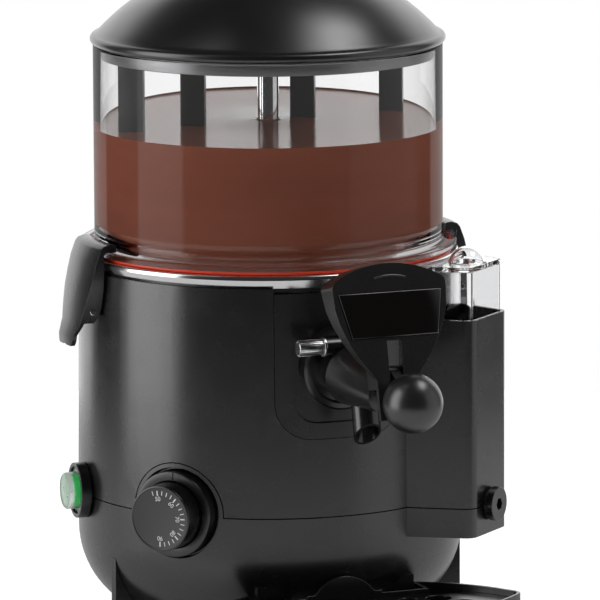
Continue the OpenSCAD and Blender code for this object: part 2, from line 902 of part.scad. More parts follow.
module tap_plunger() {
    color("#d9d9d6") place() tap_frame() {
        translate([0, 0, 17.1]) cylinder(r = 9.4, h = 3, $fn = 64);
        translate([0, 0, seat_z - 3]) cylinder(r = 3, h = 9, $fn = 64);
        translate([0, 0, 20]) cylinder(r = stem_r, h = 54, $fn = 64);
        translate([0, 0, 73]) cylinder(r = plunger_disc_r, h = 2.1, $fn = 64);
        translate([0, 0, 75]) cylinder(r = 2.4, h = 5, $fn = 64);
        translate([0, 0, 79.7]) cylinder(r = plunger_disc_r, h = 2, $fn = 64);
    }
}

module plunger_seal() {
    color("#c9502f") place() tap_frame() difference() {
        translate([0, 0, seat_z + 0.1]) cylinder(r1 = 10, r2 = 10.6, h = 4.9, $fn = 64);
        translate([0, 0, seat_z - 1]) cylinder(r = 3.02, h = 10, $fn = 64);
    }
}

// wound wire as one tube: a ring of points for every step along the helix
function coil_points(turns, steps, sides) =
    let (n = turns * steps,
         rise = (spring_z1 - spring_z0 - 2 * wire_r) / n)
    [for (i = [0:n], k = [0:sides - 1])
        let (a = 360 * i / steps, b = 360 * k / sides, rr = spring_r + wire_r * cos(b))
        [rr * cos(a), rr * sin(a), spring_z0 + wire_r + rise * i + wire_r * sin(b)]];

module tap_spring() {
    sides = 6;
    steps = 8;
    n = spring_turns * steps;
    pts = coil_points(spring_turns, steps, sides);
    // least gap between one turn and the next
    echo(least_gap = min([for (i = [0:n - steps], k = [0:sides - 1], m = [0:sides - 1])
        norm(pts[i * sides + k] - pts[(i + steps) * sides + m])]));
    side_faces = [for (i = [0:n - 1], k = [0:sides - 1], h = [0, 1])
        let (a = i * sides + k, b = i * sides + (k + 1) % sides, c = a + sides, d = b + sides)
        h == 0 ? [a, b, d] : [a, d, c]];
    start_cap = [for (k = [1:sides - 2]) [0, k + 1, k]];
    end_cap = [for (k = [1:sides - 2]) [n * sides, n * sides + k, n * sides + k + 1]];
    color("#c9ccd0") place() tap_frame() polyhedron(pts, concat(side_faces, start_cap, end_cap));
}

// side view of one arm of the lever's fork, which lifts the plunger by its two discs
module fork_side() {
    reach = lever_y / cos(fork_dip);
    translate([lever_y, lever_z]) rotate(fork_dip) {
        polygon([[-reach, -fork_t / 2], [-10, -fork_t / 2], [0, -3.2],
                 [0, 3.2], [-10, fork_t / 2], [-reach, fork_t / 2]]);
        translate([-reach, 0]) circle(r = fork_tip_r, $fn = 48);
    }
}

module tap_lever() {
    reach = [ball_y - lever_y, ball_z - lever_z];
    tilt = atan2(reach[0], reach[1]);
    color("#3b3c3e") place() tap_frame() difference() {
        union() {
            translate([0, lever_y, lever_z]) rotate([0, 90, 0])
                cylinder(r = 4.4, h = 10, center = true, $fn = 64);
            for (s = [-1, 1]) translate([s * 4, 0, 0]) rotate([90, 0, 90])
                linear_extrude(2, center = true) fork_side();
            translate([0, lever_y, lever_z]) rotate([-tilt, 0, 0]) {
                translate([-3.2, -3.5, 0]) cube([6.4, 7, 14]);
                cylinder(r = 3, h = norm(reach) - 8, $fn = 48);
            }
        }
        translate([0, lever_y, lever_z]) rotate([0, 90, 0])
            cylinder(r = 2 + fit, h = 40, center = true, $fn = 48);
    }
}

module lever_pin() {
    color("silver") place() tap_frame() translate([0, lever_y, lever_z]) rotate([0, 90, 0])
        cylinder(r = 2, h = 17.8, center = true, $fn = 48);
}

module ball_knob() {
    reach = [ball_y - lever_y, ball_z - lever_z];
    tilt = atan2(reach[0], reach[1]);
    bore = 3.01;
    r = ball_d / 2;
    color("#232426") place() tap_frame() translate([0, ball_y, ball_z]) rotate([-tilt, 0, 0])
        rotate_extrude() polygon(concat([[0, -8], [bore, -8]],
                                        arc([0, 0], r, -acos(bore / r), 90, 40)));
}

module flow_screw() {
    color("#d4d6d8") place() tap_frame() translate([0, screw_y, screw_z]) rotate([0, -90, 0]) {
        translate([0, 0, 6]) cylinder(r = 3, h = 14, $fn = 48);
        translate([0, 0, 18.3]) cylinder(r = 6.4, h = 1.8, $fn = 64);
        translate([0, 0, 20]) cylinder(r = screw_head_r, h = 16.4, $fn = 48);
    }
}

// face of the shield, second axis up along it
function shield_outline(inset = 0) =
    let (half = concat(
        arc([0, -28.1], 70 - inset, 90, 61, 8),
        arc([30.6, 26.6], 7.5 - inset, 58, -8, 6),
        [[37.4 - inset, 14.5], [34.9 - inset, 5], [30.6 - inset, -5.4], [24.6 - inset, -16]],
        [[17.4 - inset, -25.6], [13.5 - inset, -31], [13.5 - inset, -56 + inset]]))
    concat(half, flip(half));

// the rim behind the shield's face, deep at the top and running out downwards
module shield_rim() {
    difference() {
        translate([0, 0, -shield_depth]) linear_extrude(shield_depth) polygon(shield_outline());
        translate([0, 0, -shield_depth - cut])
            linear_extrude(shield_depth + 2 * cut) polygon(shield_outline(2.4));
        translate([0, 0, -shield_mid_depth]) rotate([-shield_taper, 0, 0])
            translate([-100, -100, -60]) cube([200, 200, 60]);
    }
}

module tap_shield() {
    color("#222325") place() shield_frame() difference() {
        union() {
            translate([0, 0, -shield_t]) linear_extrude(shield_t) polygon(shield_outline());
            shield_rim();
            // cheeks that grip the ears of the tap
            for (s = [-1, 1]) translate([s * 11.5 - 2.5, -36, -15]) cube([5, 14, 14]);
        }
        translate([-4.7, -47, -20]) cube([9.4, 40.5, 40]);
        // place of the label plate
        translate([-35, -4.6, -1]) linear_extrude(5)
            polygon([[0, 28.8], [70, 28.8], [65.4, 0], [7, 0]]);
    }
}

module label_plate() {
    color("#0b0b0c") place() shield_frame()
        translate([-35, -4.6, -0.98]) linear_extrude(2.2)
            polygon([[0.3, 28.5], [69.7, 28.5], [65.1, 0.3], [7.3, 0.3]]);
}

// ---- water tower ----

module water_tank() {
    color([0.85, 0.9, 0.92, 0.35]) place() difference() {
        tower(tank_z0, tank_z1, 2.9);
        cylinder(r = body_r + 0.8, h = 400);
        difference() {
            tower(tank_z0 + tank_wall, tank_z1 + cut, 2.9 + tank_wall);
            cylinder(r = body_r + 0.8 + tank_wall, h = 400);
        }
        link_bore();
    }
}

module water_tank_lid() {
    color([0.85, 0.9, 0.92, 0.4]) place() difference() {
        union() {
            difference() {
                tower(tank_z1 + gap, tank_z1 + gap + tank_lid_h, 2.9);
                cylinder(r = body_r + 0.8, h = 400);
            }
            rotate([0, 0, tower_angle]) translate([0, -tank_dome_at, tank_z1 + tank_lid_h - 2])
                intersection() {
                    sphere(r = tank_dome_r);
                    translate([0, 0, 2]) cylinder(r = 20, h = 20);
                }
        }
        rotate([0, 0, tower_angle]) translate([0, -tank_dome_at, tank_z1 + tank_lid_h - 2])
            sphere(r = tank_dome_r - 1.6);
    }
}

module drain_outlet() {
    color("#8d9093") place() radial(tower_angle, 0, seam_z) difference() {
        translate([0, 0, 130]) cylinder(r = 7.7, h = tower_face_r - 130);
        translate([0, 0, 140]) cylinder(r = 5, h = 40);
    }
}

module drain_seal() {
    color("#161718") place() radial(tower_angle, 0, seam_z)
        ring(8.2, 10, tower_face_r + 0.1, tower_face_r + 1.5);
}

module drain_cap() {
    color("#202123") place() radial(tower_angle, 0, seam_z) difference() {
        union() {
            translate([0, 0, tower_face_r + 1.6]) cylinder(r = 11, h = 5);
            translate([0, 0, tower_face_r - 12]) cylinder(r = 4.95, h = 14);
        }
        translate([0, 0, tower_face_r + 3]) cylinder(r = 4, h = 10, $fn = 6);
    }
}

module cord_gland() {
    color("#1a1b1c") place() radial(180, 0, 70) difference() {
        union() {
            translate([0, 0, 110]) cylinder(r = 7.8, h = 16);
            translate([0, 0, 125.6]) cylinder(r = 11, h = 5, $fn = 64);
            translate([0, 0, 130]) cylinder(r1 = 8, r2 = 6.5, h = 7);
        }
        translate([0, 0, 100]) cylinder(r = 4.2, h = 60, $fn = 48);
    }
}

base_housing();
body_housing();
bottom_plate();
legs();
foot_pads();
tray_bracket();
drip_tray();
drip_grid();
tap_panel();
rear_vent_panel();
rim_ring();
bowl_seal();
bowl();
product_pan();
water_bath_tank();
heating_element();
chassis_plate();
standoffs();
link_pipe();
gear_motor();
centre_tube();
drive_shaft();
stirrer_hub();
stirrer_paddle();
hot_chocolate();
lid();
lid_band();
lid_knob();
thermostat();
thermostat_bulb();
dial_bezel();
dial_knob();
switch_bezel();
power_button();
switch_cap();
latch_left();
latch_right();
latch_bracket_left();
latch_bracket_right();
latch_pin_left();
latch_pin_right();
tap_body();
stem_gland();
tap_plunger();
plunger_seal();
tap_spring();
tap_lever();
lever_pin();
ball_knob();
tap_shield();
label_plate();
flow_screw();
water_tank();
water_tank_lid();
drain_outlet();
drain_cap();
drain_seal();
cord_gland();
base_screws();
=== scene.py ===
"""Looks of the hot chocolate dispenser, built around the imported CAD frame.

Metres, +Z up, the tap points along -Y. Outlines are written in millimetres and scaled by MM.
"""

import math

import bmesh
import bpy
from mathutils import Matrix, Vector


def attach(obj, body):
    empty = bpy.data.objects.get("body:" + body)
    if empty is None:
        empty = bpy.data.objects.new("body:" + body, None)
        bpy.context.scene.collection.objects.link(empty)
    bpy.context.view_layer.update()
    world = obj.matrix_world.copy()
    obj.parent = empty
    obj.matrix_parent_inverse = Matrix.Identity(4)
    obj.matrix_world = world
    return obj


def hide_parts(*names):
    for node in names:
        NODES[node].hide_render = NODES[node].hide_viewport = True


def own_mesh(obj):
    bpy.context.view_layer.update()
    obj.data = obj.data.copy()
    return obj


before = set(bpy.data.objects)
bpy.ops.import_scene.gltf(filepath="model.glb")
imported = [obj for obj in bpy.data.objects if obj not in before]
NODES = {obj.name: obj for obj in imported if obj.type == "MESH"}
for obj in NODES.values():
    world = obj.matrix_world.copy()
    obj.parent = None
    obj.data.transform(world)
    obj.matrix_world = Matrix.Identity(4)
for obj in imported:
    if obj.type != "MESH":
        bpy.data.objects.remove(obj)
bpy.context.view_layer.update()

MM = 0.001

# ---- driving dimensions, millimetres, from the bowl axis ----

AXIS_Y = 60.7          # the bowl axis in the row frame
BODY_TOP_Z = 248.5
RING_TOP_Z = 256.5
SEAL_TOP_Z = 259.0
FLANGE_TOP_Z = 262.5
FLANGE_R = 122.0
BOWL_R = 113.0
BOWL_TOP_Z = 389.8
BOWL_WALL = 3.0
DRINK_Z = 336.6
DRINK_OVERLAP = 0.08   # into the bowl's wall, so that no film of air shows between them
PAN_R = 107.5
TUBE_R = 7.0
DOME_R = 150.0
DOME_Z = 296.0
LID_RIM_Z = 390.4
DIAL_ANGLE = -50.4
SWITCH_ANGLE = -95.0
TAP_F = 124.0
TAP_Z = 198.0
TAP_TILT = 5.5
SHIELD_F = 208.0
SHIELD_Z = 234.5
SHIELD_TILT = 13.0
LEVER_Y = 17.0
LEVER_Z = 81.0
BALL_Y = 6.5
BALL_Z = 115.5
BALL_D = 37.5
SPRING_R = 7.2
SPRING_WIRE_R = 0.8
SPRING_TURNS = 8
SPRING_ENDS = (20.4, 57.6)
SCREW_Y = 17.4
SCREW_Z = 14.2
KNURL_R = 5.1
DIAL_Z = 102.3
DIAL_BASE_R = 29.2
DIAL_RING_R = 27.6
DIAL_FRONT = 145.9
DIAL_FACE = 145.6      # the printed face, set back a little from the knob's edge
KNOB_R = 21.2
SWITCH_Z = 103.3
SWITCH_FRONT = 132.0
BUTTON_R = 10.4
BLADE_AT = (-94, -52, 24.5, 88)
BLADE_W = 16.0
BLADE_T = 5.0
BLADE_LEAN = 35.0

# ---- print on the dial ----

TICKS = 18
TICK_FIRST = 108.0
TICK_STEP = 11.65
DIAL_NUMBERS = ("50", "60", "70", "80", "90")

# ---- the photograph's camera, degrees and metres ----

CAM_AZIMUTH = -21.7
CAM_ELEVATION = 9.6
CAM_DISTANCE = 4.3
CAM_TARGET_Z = 0.221
CAM_ROLL = -0.3
FRAME_WIDTH_AT_TARGET = 0.390
TARGET_PIXEL_X = 269
PICTURE_SIZE = 600


SHARP_DEGREES = 40.0   # edges steeper than this stay crisp


# ---- node helpers ----

def new_material(name):
    mat = bpy.data.materials.new(name)
    mat.use_nodes = True
    return mat, mat.node_tree, mat.node_tree.nodes["Principled BSDF"]


def add(tree, kind, **values):
    node = tree.nodes.new(kind)
    for key, value in values.items():
        if key in node.inputs:
            node.inputs[key].default_value = value
        else:
            setattr(node, key, value)
    return node


def noise(tree, scale, detail=3.0):
    coords = add(tree, "ShaderNodeTexCoord")
    node = add(tree, "ShaderNodeTexNoise", Scale=scale, Detail=detail)
    tree.links.new(coords.outputs["Object"], node.inputs["Vector"])
    return node.outputs["Fac"]


def spread(tree, value, low, high):
    """A 0 to 1 value carried to low to high."""
    node = add(tree, "ShaderNodeMapRange")
    node.inputs["From Min"].default_value = 0.25
    node.inputs["From Max"].default_value = 0.75
    node.inputs["To Min"].default_value = low
    node.inputs["To Max"].default_value = high
    tree.links.new(value, node.inputs["Value"])
    return node.outputs["Result"]


def tint(tree, value, dark, light):
    """A 0 to 1 value carried to a colour between dark and light."""
    node = add(tree, "ShaderNodeMix", data_type="RGBA")
    node.inputs[6].default_value = (*dark, 1)
    node.inputs[7].default_value = (*light, 1)
    tree.links.new(spread(tree, value, 0.0, 1.0), node.inputs[0])
    return node.outputs[2]


def bump(tree, shader, height, distance, strength=1.0):
    node = add(tree, "ShaderNodeBump", Strength=strength, Distance=distance)
    tree.links.new(height, node.inputs["Height"])
    tree.links.new(node.outputs["Normal"], shader.inputs["Normal"])
    return node


def shade(colour, factor):
    return tuple(c * factor for c in colour)


# ---- materials ----

def moulded(name, colour, rough, grain_mm=0.6, grain_depth=0.02, specular=0.9, variation=0.10):
    """Moulded plastic: a fine spark-eroded grain, and slow changes of gloss and tone."""
    mat, tree, shader = new_material(name)
    shader.inputs["Specular IOR Level"].default_value = specular
    slow = noise(tree, 18.0, 2.0)
    tree.links.new(tint(tree, slow, shade(colour, 1 - variation), shade(colour, 1 + variation)),
                   shader.inputs["Base Color"])
    tree.links.new(spread(tree, noise(tree, 45.0, 4.0), rough * 0.92, rough * 1.08),
                   shader.inputs["Roughness"])
    bump(tree, shader, noise(tree, 1.0 / (grain_mm * MM), 2.0), grain_depth * MM)
    return mat


def gloss(name, colour, rough, ripple=0.002, coat=0.0, specular=0.8):
    """Polished plastic with a very slight ripple in its gloss."""
    mat, tree, shader = new_material(name)
    shader.inputs["Specular IOR Level"].default_value = specular
    tree.links.new(tint(tree, noise(tree, 60.0), shade(colour, 0.9), shade(colour, 1.1)),
                   shader.inputs["Base Color"])
    tree.links.new(spread(tree, noise(tree, 70.0, 2.0), rough * 0.92, rough * 1.08),
                   shader.inputs["Roughness"])
    shader.inputs["Coat Weight"].default_value = coat
    shader.inputs["Coat Roughness"].default_value = 0.04
    bump(tree, shader, noise(tree, 120.0, 1.0), ripple * MM)
    return mat


def round_brushed(tree, fine):
    """Noise drawn out round the Z axis through the bowl: fine lines along the turning."""
    coords = add(tree, "ShaderNodeTexCoord")
    moved = add(tree, "ShaderNodeVectorMath", operation="SUBTRACT")
    moved.inputs[1].default_value = (0, AXIS_Y * MM, 0)
    parts = add(tree, "ShaderNodeSeparateXYZ")
    flat = add(tree, "ShaderNodeVectorMath", operation="MULTIPLY")
    flat.inputs[1].default_value = (1, 1, 0)
    length = add(tree, "ShaderNodeVectorMath", operation="LENGTH")
    angle = add(tree, "ShaderNodeMath", operation="ARCTAN2")
    joined = add(tree, "ShaderNodeCombineXYZ")
    lines = add(tree, "ShaderNodeTexNoise", Scale=1.0, Detail=4.0)
    stretch = add(tree, "ShaderNodeVectorMath", operation="MULTIPLY")
    stretch.inputs[1].default_value = (1.2, fine, fine)
    link = tree.links.new
    link(coords.outputs["Object"], moved.inputs[0])
    link(moved.outputs[0], parts.inputs[0])
    link(moved.outputs[0], flat.inputs[0])
    link(flat.outputs[0], length.inputs[0])
    link(parts.outputs["Y"], angle.inputs[0])
    link(parts.outputs["X"], angle.inputs[1])
    link(angle.outputs[0], joined.inputs["X"])
    link(length.outputs["Value"], joined.inputs["Y"])
    link(parts.outputs["Z"], joined.inputs["Z"])
    link(joined.outputs[0], stretch.inputs[0])
    link(stretch.outputs[0], lines.inputs["Vector"])
    return lines.outputs["Fac"]


def turned_steel(name, colour, rough, fine=2500.0, depth=0.003):
    mat, tree, shader = new_material(name)
    shader.inputs["Metallic"].default_value = 1.0
    lines = round_brushed(tree, fine)
    tree.links.new(tint(tree, lines, shade(colour, 0.88), shade(colour, 1.06)),
                   shader.inputs["Base Color"])
    tree.links.new(spread(tree, lines, rough * 0.7, rough * 1.3), shader.inputs["Roughness"])
    bump(tree, shader, lines, depth * MM)
    return mat


def plain_metal(name, colour, rough, grain=900.0, depth=0.004):
    mat, tree, shader = new_material(name)
    shader.inputs["Metallic"].default_value = 1.0
    fine = noise(tree, grain)
    tree.links.new(tint(tree, fine, shade(colour, 0.85), shade(colour, 1.08)),
                   shader.inputs["Base Color"])
    tree.links.new(spread(tree, noise(tree, 70.0), rough * 0.75, rough * 1.25),
                   shader.inputs["Roughness"])
    bump(tree, shader, fine, depth * MM)
    return mat


def clear(name, colour, rough, ior=1.46, ripple_scale=35.0, ripple=0.02):
    """Clear plastic with the slow waviness of a moulding."""
    mat, tree, shader = new_material(name)
    shader.inputs["Transmission Weight"].default_value = 1.0
    shader.inputs["IOR"].default_value = ior
    tree.links.new(tint(tree, noise(tree, 12.0), shade(colour, 0.995), colour),
                   shader.inputs["Base Color"])
    shader.inputs["Roughness"].default_value = 0.0
    if rough:
        tree.links.new(spread(tree, noise(tree, 400.0, 4.0), rough * 0.5, rough * 1.5),
                       shader.inputs["Roughness"])
    bump(tree, shader, noise(tree, ripple_scale, 1.0), ripple * MM)
    return mat


def silicone(name, colour):
    mat, tree, shader = new_material(name)
    tree.links.new(tint(tree, noise(tree, 300.0), shade(colour, 0.9), colour),
                   shader.inputs["Base Color"])
    tree.links.new(spread(tree, noise(tree, 200.0), 0.32, 0.45), shader.inputs["Roughness"])
    shader.inputs["Subsurface Weight"].default_value = 0.25
    shader.inputs["Subsurface Radius"].default_value = (0.004, 0.001, 0.001)
    shader.inputs["Subsurface Scale"].default_value = 0.3
    bump(tree, shader, noise(tree, 600.0), 0.01 * MM)
    return mat


def drink_material():
    """Thick hot chocolate: slow streaks from stirring, and a soft gloss."""
    mat, tree, shader = new_material("hot_chocolate")
    streaks = round_brushed(tree, 60.0)
    tree.links.new(tint(tree, streaks, (0.270, 0.090, 0.055), (0.315, 0.104, 0.064)),
                   shader.inputs["Base Color"])
    tree.links.new(spread(tree, noise(tree, 90.0, 3.0), 0.10, 0.17), shader.inputs["Roughness"])
    shader.inputs["Specular IOR Level"].default_value = 0.08
    shader.inputs["Subsurface Weight"].default_value = 0.15
    shader.inputs["Subsurface Radius"].default_value = (0.003, 0.0012, 0.0008)
    shader.inputs["Subsurface Scale"].default_value = 0.5
    bump(tree, shader, noise(tree, 55.0, 2.0), 0.03 * MM)
    return mat


def lit_green():
    mat, tree, shader = new_material("lit_green")
    tree.links.new(tint(tree, noise(tree, 160.0, 2.0), (0.02, 0.36, 0.08), (0.07, 0.62, 0.17)),
                   shader.inputs["Base Color"])
    tree.links.new(spread(tree, noise(tree, 90.0), 0.18, 0.28), shader.inputs["Roughness"])
    shader.inputs["Emission Color"].default_value = (0.05, 0.75, 0.16, 1)
    shader.inputs["Emission Strength"].default_value = 0.25
    bump(tree, shader, noise(tree, 500.0), 0.02 * MM)
    return mat


HOUSING = moulded("housing_charcoal", (0.0040, 0.0041, 0.0041), 0.27, grain_depth=0.005, specular=1.0)
LID_BLACK = moulded("lid_charcoal", (0.0040, 0.0041, 0.0042), 0.30, grain_depth=0.004, specular=1.0)
PANEL = moulded("panel_charcoal", (0.0046, 0.0047, 0.0049), 0.28, grain_depth=0.005)
TRIM = moulded("trim_black", (0.0034, 0.0035, 0.0036), 0.28, grain_mm=0.5, grain_depth=0.004)
# painted shade: the tap lever's colour and gloss are darkened to stand for the shade inside the
# shield's slot, where it sits
LEVER_SLOT_SHADE = moulded("lever_slot_shade", (0.0022, 0.0022, 0.0023), 0.42, specular=0.4)
TAP_BLACK = gloss("tap_black", (0.0042, 0.0043, 0.0044), 0.25)
BALL_BLACK = gloss("ball_black", (0.0065, 0.0066, 0.0068), 0.33, specular=1.0)
LABEL = gloss("label_gloss", (0.0022, 0.0018, 0.0012), 0.05, coat=0.5)
RUBBER = moulded("rubber_black", (0.010, 0.010, 0.010), 0.75, grain_mm=0.8, grain_depth=0.05)
BLADE = moulded("blade_charcoal", (0.0120, 0.0122, 0.0128), 0.38, grain_mm=0.7, grain_depth=0.006)
BOWL_CLEAR = clear("bowl_clear", (0.992, 0.995, 0.995), 0.0, ior=1.45, ripple_scale=9.0, ripple=0.004)
TANK_CLEAR = clear("tank_clear", (0.985, 0.99, 0.993), 0.03, ripple_scale=60.0, ripple=0.03)
CAP_CLEAR = clear("cap_clear", (0.97, 0.98, 0.98), 0.40, ripple_scale=260.0, ripple=0.06)
SEAL_ORANGE = silicone("seal_orange", (0.80, 0.055, 0.018))
STEEL = turned_steel("steel_turned", (0.72, 0.72, 0.725), 0.17)
BAND = turned_steel("band_satin", (0.32, 0.32, 0.325), 0.42)
CHROME = plain_metal("chrome", (0.80, 0.80, 0.805), 0.07)
SCREW_METAL = plain_metal("screw_metal", (0.62, 0.62, 0.63), 0.20)
ZINC = plain_metal("zinc", (0.50, 0.51, 0.53), 0.38, grain=300.0)
COPPER = plain_metal("copper", (0.72, 0.40, 0.25), 0.25)
MOTOR = moulded("motor_grey", (0.10, 0.105, 0.11), 0.55, grain_mm=1.2, grain_depth=0.05)
WHITE_PLASTIC = moulded("white_plastic", (0.60, 0.59, 0.56), 0.4)
PRINT = moulded("print_white", (0.62, 0.62, 0.60), 0.5, grain_mm=0.3, grain_depth=0.005)
DRINK = drink_material()
LIT_GREEN = lit_green()

# the CAD nodes that keep their own shape, by material
CAD_MATERIALS = {
    HOUSING: "base_housing body_housing legs",
    PANEL: "tap_panel rear_vent_panel bottom_plate",
    TRIM: "tray_bracket switch_bezel latch_left latch_right latch_bracket_left "
          "latch_bracket_right drain_cap tap_shield stirrer_hub",
    # the tap lever gets the darkened material, a painted shade for its place inside the slot
    LEVER_SLOT_SHADE: "tap_lever",
    TAP_BLACK: "tap_body stem_gland drip_tray drip_grid",
    RUBBER: "foot_pads cord_gland drain_seal",
    BLADE: "stirrer_paddle",
    TANK_CLEAR: "water_tank water_tank_lid",
    SEAL_ORANGE: "plunger_seal",
    STEEL: "product_pan water_bath_tank link_pipe",
    CHROME: "lever_pin latch_pin_left latch_pin_right drive_shaft",
    SCREW_METAL: "base_screws",
    ZINC: "heating_element chassis_plate standoffs drain_outlet",
    COPPER: "thermostat_bulb",
    MOTOR: "gear_motor",
    WHITE_PLASTIC: "thermostat tap_plunger",
}

# edge rounding of CAD nodes, millimetres, where it isn't the usual one
EDGE_MM = 0.45
EDGES_MM = {
    "latch_left": 0.7, "latch_right": 0.7, "tap_shield": 1.2, "drip_tray": 0.8,
    "tray_bracket": 0.8, "legs": 1.0, "water_tank": 0.6, "water_tank_lid": 0.5,
    "tap_spring": 0.0, "heating_element": 0.0, "plunger_seal": 0.2, "tap_plunger": 0.3,
    "tap_body": 0.7, "tap_panel": 0.8,
}


def dress_cad():
    """Every CAD node that stays gets its material and rounded edges."""
    for mat, names in CAD_MATERIALS.items():
        for name in names.split():
            node = NODES[name]
            node.data.materials.clear()
            node.data.materials.append(mat)
            soften(node, EDGES_MM.get(name, EDGE_MM))


def soften(node, width):
    """Joins the split faces of a CAD mesh, flattens its flat sides and rounds its edges."""
    weld = node.modifiers.new("weld", "WELD")
    weld.merge_threshold = 0.02 * MM
    flat = node.modifiers.new("flat", "DECIMATE")
    flat.decimate_type = "DISSOLVE"
    flat.angle_limit = math.radians(0.4)
    if width:
        edge = node.modifiers.new("edge", "BEVEL")
        edge.width = width * MM
        edge.segments = 2
        edge.limit_method = "ANGLE"
        edge.angle_limit = math.radians(35)
        edge.miter_outer = "MITER_ARC"
    normals = node.modifiers.new("normals", "WEIGHTED_NORMAL")
    normals.weight = 100
    normals.keep_sharp = False


# ---- outlines, millimetres ----

def arc(x, y, radius, start, end, steps=12):
    """Points on an arc from start to end degrees."""
    turns = [math.radians(start + (end - start) * i / steps) for i in range(steps + 1)]
    return [(x + radius * math.cos(t), y + radius * math.sin(t)) for t in turns]


def rounded(corners, steps=4):
    """A closed outline through (x, y) or (x, y, radius) corners, rounded where they say so."""
    points = []
    for i, corner in enumerate(corners):
        if len(corner) == 2:
            points.append(corner)
            continue
        here = Vector(corner[:2])
        back = (Vector(corners[i - 1][:2]) - here).normalized()
        ahead = (Vector(corners[(i + 1) % len(corners)][:2]) - here).normalized()
        half = back.angle(ahead) / 2
        centre = here + (back + ahead).normalized() * corner[2] / math.sin(half)
        start = here + back * corner[2] / math.tan(half) - centre
        end = here + ahead * corner[2] / math.tan(half) - centre
        first = math.atan2(start.y, start.x)
        turn = math.remainder(math.atan2(end.y, end.x) - first, math.tau)
        for k in range(steps + 1):
            angle = first + turn * k / steps
            points.append((centre.x + corner[2] * math.cos(angle),
                           centre.y + corner[2] * math.sin(angle)))
    return points


# ---- frames: millimetres of a piece to metres of the machine ----

def place():
    """On the bowl axis."""
    return Matrix.Scale(MM, 4) @ Matrix.Translation((0, AXIS_Y, 0))


def turned_about(x, y, z, angle, axis):
    return Matrix.Translation((x, y, z)) @ Matrix.Rotation(math.radians(angle), 4, axis)


def radial(angle, z):
    """Third axis outwards from the bowl axis, second axis up."""
    return (place() @ Matrix.Rotation(math.radians(angle), 4, "Z")
            @ turned_about(0, 0, z, 90, "X"))


def tap_frame():
    """Third axis along the tap's barrel."""
    return place() @ turned_about(0, -TAP_F, TAP_Z, 90 + TAP_TILT, "X")


def shield_frame():
    """Third axis out of the shield's face, second axis up along it."""
    return place() @ turned_about(0, -SHIELD_F, SHIELD_Z, 90 - SHIELD_TILT, "X")


# ---- mesh builders: each adds one closed form to a bmesh ----

def turn(mesh, profile, steps=192):
    """A closed profile of (radius, height) points turned round the third axis."""
    rings = []
    for radius, height in profile:
        if radius < 1e-6:
            rings.append([mesh.verts.new((0, 0, height))] * steps)
        else:
            rings.append([mesh.verts.new((radius * math.cos(math.tau * i / steps),
                                          radius * math.sin(math.tau * i / steps), height))
                          for i in range(steps)])
    for lower, upper in zip(rings, rings[1:] + rings[:1]):
        for i in range(steps):
            corners = [lower[i], lower[(i + 1) % steps], upper[(i + 1) % steps], upper[i]]
            corners = list(dict.fromkeys(corners))
            if len(corners) > 2:
                mesh.faces.new(corners)


def extrude(mesh, outline, low, high, edge=0.0, segments=2):
    """An outline drawn out along the third axis, its two rims rounded by edge."""
    rings = [[mesh.verts.new((x, y, z)) for x, y in outline] for z in (low, high)]
    count = len(outline)
    for lower, upper in zip(rings, rings[1:]):
        for i in range(count):
            mesh.faces.new([lower[i], lower[(i + 1) % count], upper[(i + 1) % count], upper[i]])
    caps = [mesh.faces.new(rings[0][::-1]), mesh.faces.new(rings[-1])]
    if edge:
        rims = list({e for cap in caps for e in cap.edges})
        bmesh.ops.bevel(mesh, geom=rims, offset=edge, segments=segments, profile=0.5,
                        affect="EDGES", clamp_overlap=True)


def tube(mesh, path, radius, sides=12):
    """A round wire along a path of points."""
    points = [Vector(p) for p in path]
    count = len(points)
    rings = []
    side = None
    for i, point in enumerate(points):
        along = (points[min(i + 1, count - 1)] - points[max(i - 1, 0)]).normalized()
        if side is None:
            side = along.orthogonal().normalized()
        side = (side - along * side.dot(along)).normalized()
        other = along.cross(side)
        rings.append([mesh.verts.new(point + radius * (side * math.cos(math.tau * k / sides)
                                                      + other * math.sin(math.tau * k / sides)))
                      for k in range(sides)])
    for lower, upper in zip(rings, rings[1:]):
        for k in range(sides):
            mesh.faces.new([lower[k], lower[(k + 1) % sides], upper[(k + 1) % sides], upper[k]])
    mesh.faces.new(rings[0][::-1])
    mesh.faces.new(rings[-1])


def piece(name, mesh, frame_matrix, material, body, slot, *nodes, sharp=SHARP_DEGREES):
    """Finishes a piece: puts it in its place, gives it its material and the body that it rides on."""
    bmesh.ops.recalc_face_normals(mesh, faces=mesh.faces)
    data = bpy.data.meshes.new(name)
    mesh.to_mesh(data)
    mesh.free()
    data.transform(frame_matrix)
    data.materials.append(material)
    for face in data.polygons:
        face.use_smooth = True
    data.set_sharp_from_angle(angle=math.radians(sharp))
    made = bpy.data.objects.new(name, data)
    bpy.context.scene.collection.objects.link(made)
    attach(made, body)
    if nodes:
        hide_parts(*nodes)
    return made


def cut_with(made, cutter):
    """Takes the cutter's volume out of a piece."""
    knife = made.modifiers.new("cut", "BOOLEAN")
    knife.operation = "DIFFERENCE"
    knife.solver = "EXACT"
    knife.object = cutter
    result = bpy.data.meshes.new_from_object(made.evaluated_get(bpy.context.evaluated_depsgraph_get()))
    made.modifiers.clear()
    old = made.data
    made.data = result
    result.set_sharp_from_angle(angle=math.radians(SHARP_DEGREES))
    bpy.data.meshes.remove(old)
    bpy.data.objects.remove(cutter)


# ---- lid ----

